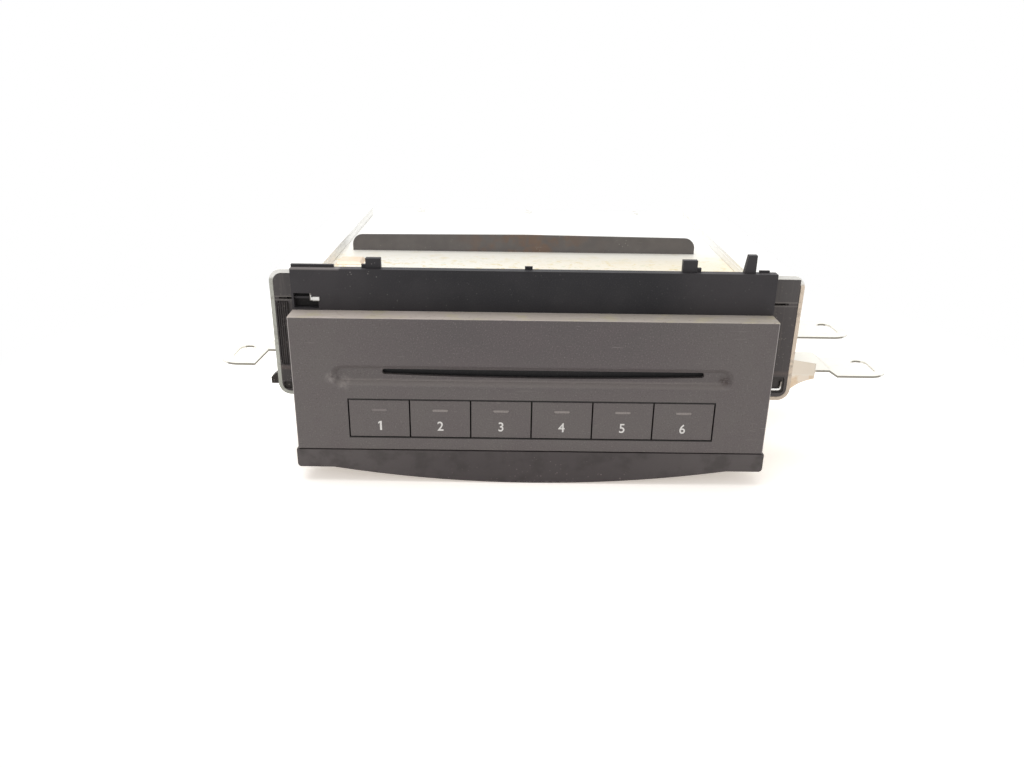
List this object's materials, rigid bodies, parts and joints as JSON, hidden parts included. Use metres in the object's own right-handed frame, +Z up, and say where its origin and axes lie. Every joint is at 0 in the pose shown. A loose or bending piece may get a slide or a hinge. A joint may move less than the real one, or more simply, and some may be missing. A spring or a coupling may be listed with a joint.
{
  "type": "car cd changer",
  "caption": "In-dash disc changer: slim faceplate with disc slot and a row of numbered keys, sheet housing, side brackets with slotted ears, tray stack and swing arm inside.",
  "frame": {"origin": "centre of the housing's flat bottom face", "axes": "+X to the user's right along the faceplate, +Y into the dashboard, +Z up"},
  "size_m": [0.2815, 0.186, 0.0934],
  "materials": {
    "bezel_paint": "fine speckled satin paint",
    "key_plastic": "fine speckled satin paint",
    "black_plastic": "satin moulded plastic",
    "plated_steel": "zinc plated sheet",
    "bracket_steel": "plated sheet, tan tint",
    "bright_steel": "bright plated",
    "hook_paint": "dark grey satin",
    "board": "green solder mask",
    "chip": "matt",
    "damper_rubber": "matt",
    "roller_rubber": "matt",
    "white_plastic": "moulded acetal",
    "clear_lamp": "clear",
    "motor_can": "plated",
    "brass": "turned"
  },
  "bodies": {
    "housing": {"bezel": "bezel_paint", "keypad_board": "board", "key_switches": "chip", "key_lights": "clear_lamp", "front_frame": "black_plastic", "frame_clip": "bright_steel", "chassis_pan": "plated_steel", "top_cover": "plated_steel", "housing_screws": "bright_steel", "top_hook_plate": "hook_paint", "rear_connector": "black_plastic", "bracket_left": "bracket_steel", "bracket_right": "bracket_steel", "guide_block_left": "black_plastic", "guide_block_right": "black_plastic", "bracket_screws": "bright_steel", "ear_left": "bracket_steel", "ear_right_front": "bracket_steel", "ear_right_rear": "bracket_steel", "bracket_spring": "bright_steel", "main_board": "board", "board_parts": "chip", "deck_dampers": "damper_rubber", "mech_deck": "plated_steel", "roller_frame": "plated_steel", "disc_guide": "black_plastic", "load_motor": "motor_can", "guide_rods": "bright_steel", "lift_motor": "motor_can"},
    "shutter": {"slot_shutter": "black_plastic"},
    "key_1": {"key_1": "key_plastic"},
    "key_2": {"key_2": "key_plastic"},
    "key_3": {"key_3": "key_plastic"},
    "key_4": {"key_4": "key_plastic"},
    "key_5": {"key_5": "key_plastic"},
    "key_6": {"key_6": "key_plastic"},
    "roller": {"load_roller": "roller_rubber", "roller_shaft": "bright_steel", "roller_gear": "white_plastic"},
    "idler": {"idler_gear": "white_plastic"},
    "motor_pinion": {"load_pinion": "brass"},
    "upper_trays": {"disc_tray_1": "black_plastic", "disc_tray_2": "black_plastic", "disc_tray_3": "black_plastic"},
    "lower_trays": {"disc_tray_4": "black_plastic", "disc_tray_5": "black_plastic", "disc_tray_6": "black_plastic"},
    "post_front": {"lift_post_front": "white_plastic"},
    "post_rear": {"lift_post_rear": "white_plastic"},
    "rack": {"lift_rack": "black_plastic"},
    "rack_pinion": {"lift_pinion": "brass"},
    "arm": {"swing_arm": "plated_steel", "clamp_arm": "plated_steel", "clamp_puck": "black_plastic", "spindle_motor": "motor_can", "sled_rods": "bright_steel", "sled_motor": "motor_can"},
    "spindle": {"turntable": "black_plastic"},
    "sled": {"pickup": "black_plastic"},
    "sled_screw": {"lead_screw": "bright_steel"}
  },
  "joints": [
    {"name": "shutter_swing", "type": "hinge", "parent": "housing", "child": "shutter", "pos_m": [0.0043, -0.0892, 0.0518], "axis": [1, 0, 0], "range_deg": [0, 55], "stiffness_Nm_per_rad": 0.0002, "springref_deg": -11.46},
    {"name": "key_1_press", "type": "slide", "parent": "housing", "child": "key_1", "axis": [0, 1, 0], "range_m": [0, 0.0008], "stiffness_N_per_m": 600, "springref_m": -0.001},
    {"name": "key_2_press", "type": "slide", "parent": "housing", "child": "key_2", "axis": [0, 1, 0], "range_m": [0, 0.0008], "stiffness_N_per_m": 600, "springref_m": -0.001},
    {"name": "key_3_press", "type": "slide", "parent": "housing", "child": "key_3", "axis": [0, 1, 0], "range_m": [0, 0.0008], "stiffness_N_per_m": 600, "springref_m": -0.001},
    {"name": "key_4_press", "type": "slide", "parent": "housing", "child": "key_4", "axis": [0, 1, 0], "range_m": [0, 0.0008], "stiffness_N_per_m": 600, "springref_m": -0.001},
    {"name": "key_5_press", "type": "slide", "parent": "housing", "child": "key_5", "axis": [0, 1, 0], "range_m": [0, 0.0008], "stiffness_N_per_m": 600, "springref_m": -0.001},
    {"name": "key_6_press", "type": "slide", "parent": "housing", "child": "key_6", "axis": [0, 1, 0], "range_m": [0, 0.0008], "stiffness_N_per_m": 600, "springref_m": -0.001},
    {"name": "roller_spin", "type": "hinge", "parent": "housing", "child": "roller", "pos_m": [0.0043, -0.068, 0.0425], "axis": [1, 0, 0], "continuous": true},
    {"name": "idler_spin", "type": "hinge", "parent": "housing", "child": "idler", "pos_m": [-0.066, -0.0695, 0.03059], "axis": [1, 0, 0], "continuous": true},
    {"name": "motor_pinion_spin", "type": "hinge", "parent": "housing", "child": "motor_pinion", "pos_m": [-0.066, -0.0695, 0.02019], "axis": [1, 0, 0], "continuous": true},
    {"name": "stack_lift", "type": "slide", "parent": "housing", "child": "upper_trays", "axis": [0, 0, 1], "range_m": [0, 0.004]},
    {"name": "lower_stack_drop", "type": "slide", "parent": "housing", "child": "lower_trays", "axis": [0, 0, 1], "range_m": [-0.001, 0]},
    {"name": "post_front_turn", "type": "hinge", "parent": "housing", "child": "post_front", "pos_m": [0.0763, -0.056, 0.014], "axis": [0, 0, 1], "range_deg": [-60.5, 0]},
    {"name": "post_rear_turn", "type": "hinge", "parent": "housing", "child": "post_rear", "pos_m": [0.0603, 0.068, 0.014], "axis": [0, 0, 1], "range_deg": [0, 60.5]},
    {"name": "rack_travel", "type": "slide", "parent": "housing", "child": "rack", "axis": [0, 1, 0], "range_m": [0, 0.0051]},
    {"name": "rack_pinion_turn", "type": "hinge", "parent": "housing", "child": "rack_pinion", "pos_m": [0.0755, 0.03, 0.014], "axis": [0, 0, 1], "range_deg": [-73, 0]},
    {"name": "arm_swing", "type": "hinge", "parent": "housing", "child": "arm", "pos_m": [-0.074, 0.056, 0.038], "axis": [0, 0, 1], "range_deg": [0, 54.43]},
    {"name": "turntable_spin", "type": "hinge", "parent": "arm", "child": "spindle", "pos_m": [-0.074, -0.04027, 0.044], "axis": [0, 0, 1], "continuous": true},
    {"name": "sled_travel", "type": "slide", "parent": "arm", "child": "sled", "axis": [0, 1, 0], "range_m": [0, 0.033]},
    {"name": "screw_turn", "type": "hinge", "parent": "arm", "child": "sled_screw", "pos_m": [-0.0642, 0, 0.0345], "axis": [0, 1, 0], "range_deg": [0, 1981]}
  ],
  "couplings": [
    {"joint": "idler_spin", "follows": "roller_spin", "ratio": -0.875},
    {"joint": "motor_pinion_spin", "follows": "roller_spin", "ratio": 1.4},
    {"joint": "lower_stack_drop", "follows": "stack_lift", "ratio": -0.25},
    {"joint": "post_front_turn", "follows": "stack_lift", "rad_per_m": -261.8},
    {"joint": "post_rear_turn", "follows": "stack_lift", "rad_per_m": 261.8},
    {"joint": "rack_travel", "follows": "stack_lift", "ratio": 1.2566},
    {"joint": "rack_pinion_turn", "follows": "stack_lift", "rad_per_m": -314.16},
    {"joint": "screw_turn", "follows": "sled_travel", "rad_per_m": 1047.2}
  ]
}
